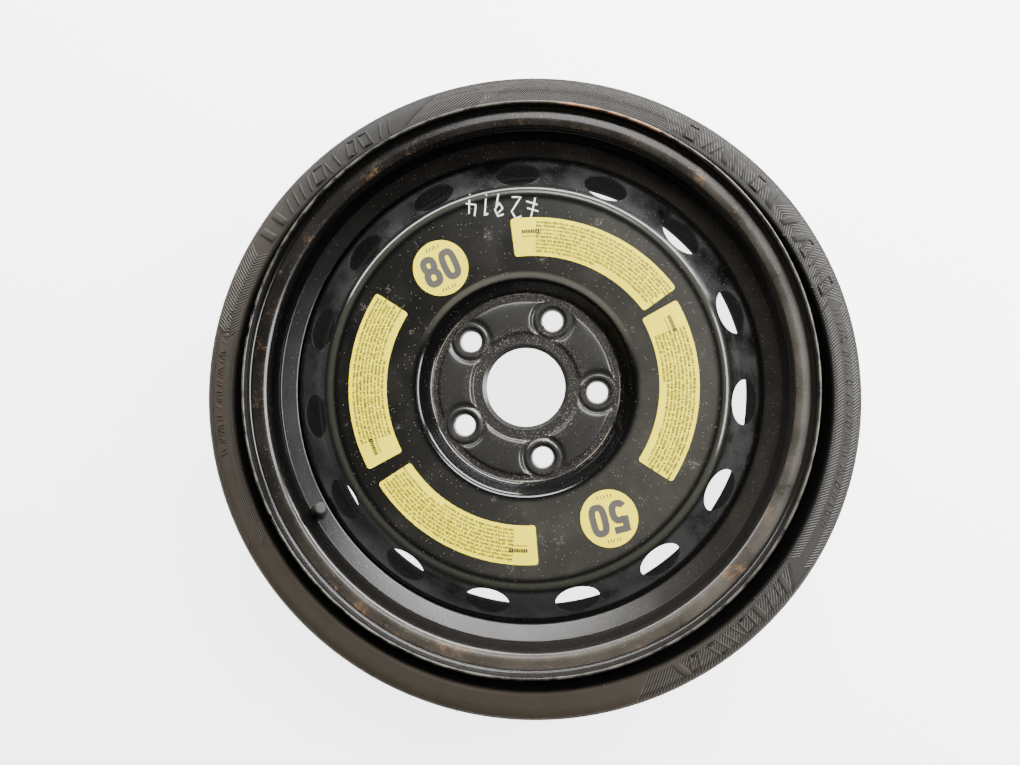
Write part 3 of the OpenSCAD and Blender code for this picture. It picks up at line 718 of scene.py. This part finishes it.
class Print:
    """Collects flat marks that lie on the disc's face or on a label."""

    def __init__(self, lift):
        self.lift, self.points, self.faces = lift, [], []

    def quad(self, corners):
        start = len(self.points)
        self.points += [disc_spot(c, self.lift) for c in corners]
        self.faces.append(tuple(range(start, start + len(corners))))

    def arc_mark(self, middle, shift, r0, r1, a0, a1):
        move = Vector((*shift, 0))
        corners = ((r0, a0), (r1, a0), (r1, a1), (r0, a1))
        self.quad([spot(r, middle + a, 0) + move for r, a in corners])

    def stroke(self, way, width, middle, turn, closed=False):
        """A ribbon of that width along local points, placed and turned about a middle."""
        spin = Matrix.Rotation(math.radians(turn), 2)
        line = [middle.xy + spin @ Vector(p) for p in way]
        sides = []
        count = len(line)
        for i, here in enumerate(line):
            before = line[i - 1] if closed or i else line[0]
            after = line[(i + 1) % count] if closed or i < count - 1 else here
            ahead = (after - before).normalized()
            out = Vector((-ahead.y, ahead.x)) * width / 2
            sides.append((here - out, here + out))
        for i in range(count if closed else count - 1):
            (a, b), (c, d) = sides[i], sides[(i + 1) % count]
            self.quad([a.to_3d(), c.to_3d(), d.to_3d(), b.to_3d()])


def oval(x, y, rx, ry, first=0, last=360, count=28, power=0.8):
    """Points round a squarish oval."""
    def square(share):
        return math.copysign(abs(share) ** power, share)

    line = []
    for k in range(count + (last - first < 360)):
        t = math.radians(first + (last - first) * k / count)
        line.append((x + rx * square(math.cos(t)), y + ry * square(math.sin(t))))
    return line


text = Print(FILM + PRINT_LIFT)
for middle, shift in LONG_LABELS:
    head = LABEL_SPAN / 2 - 2.0
    text_from = head - math.degrees(16 / LABEL_R)
    for row in range(ROW_COUNT):
        r = FIRST_ROW + row * ROW_PITCH
        a = text_from
        stop = -LABEL_SPAN / 2 + (1.6 if row else random.uniform(22, 34))
        while a > stop:
            letters = random.randint(2, 9)
            for _ in range(letters):
                wide = math.degrees(random.uniform(0.5, 0.95) / r)
                low, high = random.choice(LETTERS)
                text.arc_mark(middle, shift, r + low, r + high, a - wide, a)
                a -= wide + math.degrees(0.42 / r)
            a -= math.degrees(0.9 / r)
    a = head - 1.5
    for _ in range(8):
        wide = math.degrees(random.uniform(1.2, 1.8) / LABEL_R)
        text.arc_mark(middle, shift, 141.0, 144.2, a - wide, a)
        a -= wide + math.degrees(0.45 / LABEL_R)
    a = head - 1.5
    for _ in range(13):
        text.arc_mark(middle, shift, 137.9, 138.9, a - math.degrees(0.7 / LABEL_R), a)
        a -= math.degrees(1.15 / LABEL_R)

# Round labels: angle, radius, turn and number
SPEED_LABELS = [(129.4, 130.5, 28, "80"), (306.7, 136.5, 198, "50")]
DIGITS = {
    "8": [(oval(0, -5.5, 5.2, 5.8), True), (oval(0, 5.9, 4.6, 5.4), True)],
    "0": [(oval(0, 0, 5.1, 11.3, power=0.65), True)],
    "5": [([(6.6, 11.3), (-4.6, 11.3)], False), ([(-4.2, 13.8), (-4.6, 0.4)], False),
          (oval(-0.2, -4.0, 5.2, 7.3, 140, -150), False)],
}
NUMERAL_WIDTH = 5.9
numerals = Print(FILM + PRINT_LIFT)
for angle, radius, turn, number in SPEED_LABELS:
    middle = spot(radius, angle, 0)
    for digit, across in zip(number, (-9.0, 9.0)):
        for way, closed in DIGITS[digit]:
            numerals.stroke([(x + across, y) for x, y in way], NUMERAL_WIDTH, middle, turn, closed)
    for height, wide in ((19.0, 11.5), (-19.2, 12.0)):
        for k in range(5):
            x = -wide / 2 + wide * k / 4
            lean = random.choice((-0.8, 0, 0.8))
            text.stroke([(x, height - 1.5), (x + lean, height + 1.5)], 0.8, middle, turn)

piece("label_print", text.points, text.faces, "wheel", "label_film", INK, smooth=False)
piece("label_numerals", numerals.points, numerals.faces, "wheel", "label_film", NUMERAL_INK,
      smooth=False)

# Marks of a white paint pen across the crown
pen = Print(PRINT_LIFT)
PEN_WIDTH, PEN_TURN = 1.4, 3
PEN_STROKES = [
    (-5, 159, [(-5, 6), (5, 3)]), (-5, 159, [(-4, 0), (6, -3)]), (-5, 159, [(3, 9), (-1, -11)]),
    (-19, 160, [(5, -9), (0, -11), (-4, -5), (4, 8), (-4, 8)]),
    (-34, 160, [(4, -8), (-1, -10), (-4, -4), (0, 2), (3, -3), (-1, -7)]),
    (-34, 160, [(-3, -3), (-1, 10)]), (-46, 160, [(2, -8), (-1, -10), (0, 9)]),
    (-59, 158, [(3, -9), (4, 1), (-5, 2)]), (-59, 158, [(-2, -7), (-2, 11)]),
]
for x, y, way in PEN_STROKES:
    pen.stroke(steps(way), PEN_WIDTH, Vector((x, y, 0)), PEN_TURN)
piece("pen_marks", pen.points, pen.faces, "wheel", "label_film", PEN, smooth=False)


# ---------------------------------------------------------------- stage, light and camera

# In this section lengths are in metres
FLOOR_SIZE, FLOOR_GAP = 12, 0.0004
WALL_R, WALL_HEIGHT, WALL_SIDES, WALL_DROP = 5.8, 7.0, 64, 0.01


def glowing(name, grey, strength):
    """A pale surface that shines by itself."""
    return Coat(name, Roughness=0.9).wear(Base_Color=(grey,) * 3, Emission_Color=(1.0,) * 3,
                                          Emission_Strength=strength)


bpy.ops.mesh.primitive_plane_add(size=FLOOR_SIZE, location=(0, 0, FLOOR_Z * MM - FLOOR_GAP))
floor = bpy.context.object
floor.name = "floor"
floor.data.materials.append(glowing("floor", 0.9, 3.5))
floor.visible_glossy = False

# A pale wall far round the wheel; it gives no light to it
points, faces = [], []
for height in (0, WALL_HEIGHT):
    for k in range(WALL_SIDES):
        x, y, _ = spot(WALL_R, 360 * k / WALL_SIDES, 0)
        points.append((x, y, FLOOR_Z * MM - WALL_DROP + height))
for k in range(WALL_SIDES):
    after = (k + 1) % WALL_SIDES
    faces.append((k, after, WALL_SIDES + after, WALL_SIDES + k))
mesh = bpy.data.meshes.new("wall")
mesh.from_pydata(points, [], faces)
mesh.materials.append(glowing("wall", 0.8, 5.0))
wall = bpy.data.objects.new("wall", mesh)
bpy.context.collection.objects.link(wall)
wall.visible_glossy = wall.visible_diffuse = wall.visible_shadow = False

world = bpy.data.worlds.new("studio")
world.use_nodes = True
background = world.node_tree.nodes["Background"]
background.inputs["Color"].default_value = (1, 1, 1, 1)
background.inputs["Strength"].default_value = 0.05
bpy.context.scene.world = world


def softbox(name, place, size, power):
    """A rectangular lamp at a place, aimed at the wheel's middle."""
    lamp = bpy.data.lights.new(name, "AREA")
    lamp.shape = "RECTANGLE"
    lamp.size, lamp.size_y = size
    lamp.energy = power
    thing = bpy.data.objects.new(name, lamp)
    thing.location = place
    thing.rotation_euler = (-Vector(place)).to_track_quat("-Z", "Y").to_euler()
    bpy.context.collection.objects.link(thing)


def strip(name, azimuth, zenith, size, power, away=1.6):
    """A lamp in a direction given in degrees, at a distance from the wheel's middle."""
    b = math.radians(zenith)
    softbox(name, spot(away * math.sin(b), azimuth, away * math.cos(b)), size, power)


softbox("right_light", (0.95, 0.15, 1.0), (0.7, 0.7), 28)
strip("high_strip", 80, 31, (1.5, 0.2), 24)
strip("low_light", 64, 70, (1.8, 0.45), 74)
strip("left_strip", 126, 67, (1.7, 0.25), 31)

camera = bpy.data.objects.new("camera", bpy.data.cameras.new("camera"))
camera.data.lens = 26.118
camera.data.sensor_width = 36
CAMERA_PLACE = Vector((36.16, -21.97, 673.26)) * MM
CAMERA_RIGHT = Vector((0.994764, 0.071971, -0.0725))
CAMERA_UP = Vector((-0.068996, 0.996694, 0.04277))
CAMERA_BACK = Vector((0.075343, -0.037546, 0.99645))
turn = Matrix((CAMERA_RIGHT, CAMERA_UP, CAMERA_BACK)).transposed().to_4x4()
camera.matrix_world = Matrix.Translation(CAMERA_PLACE) @ turn
bpy.context.collection.objects.link(camera)
bpy.context.scene.camera = camera
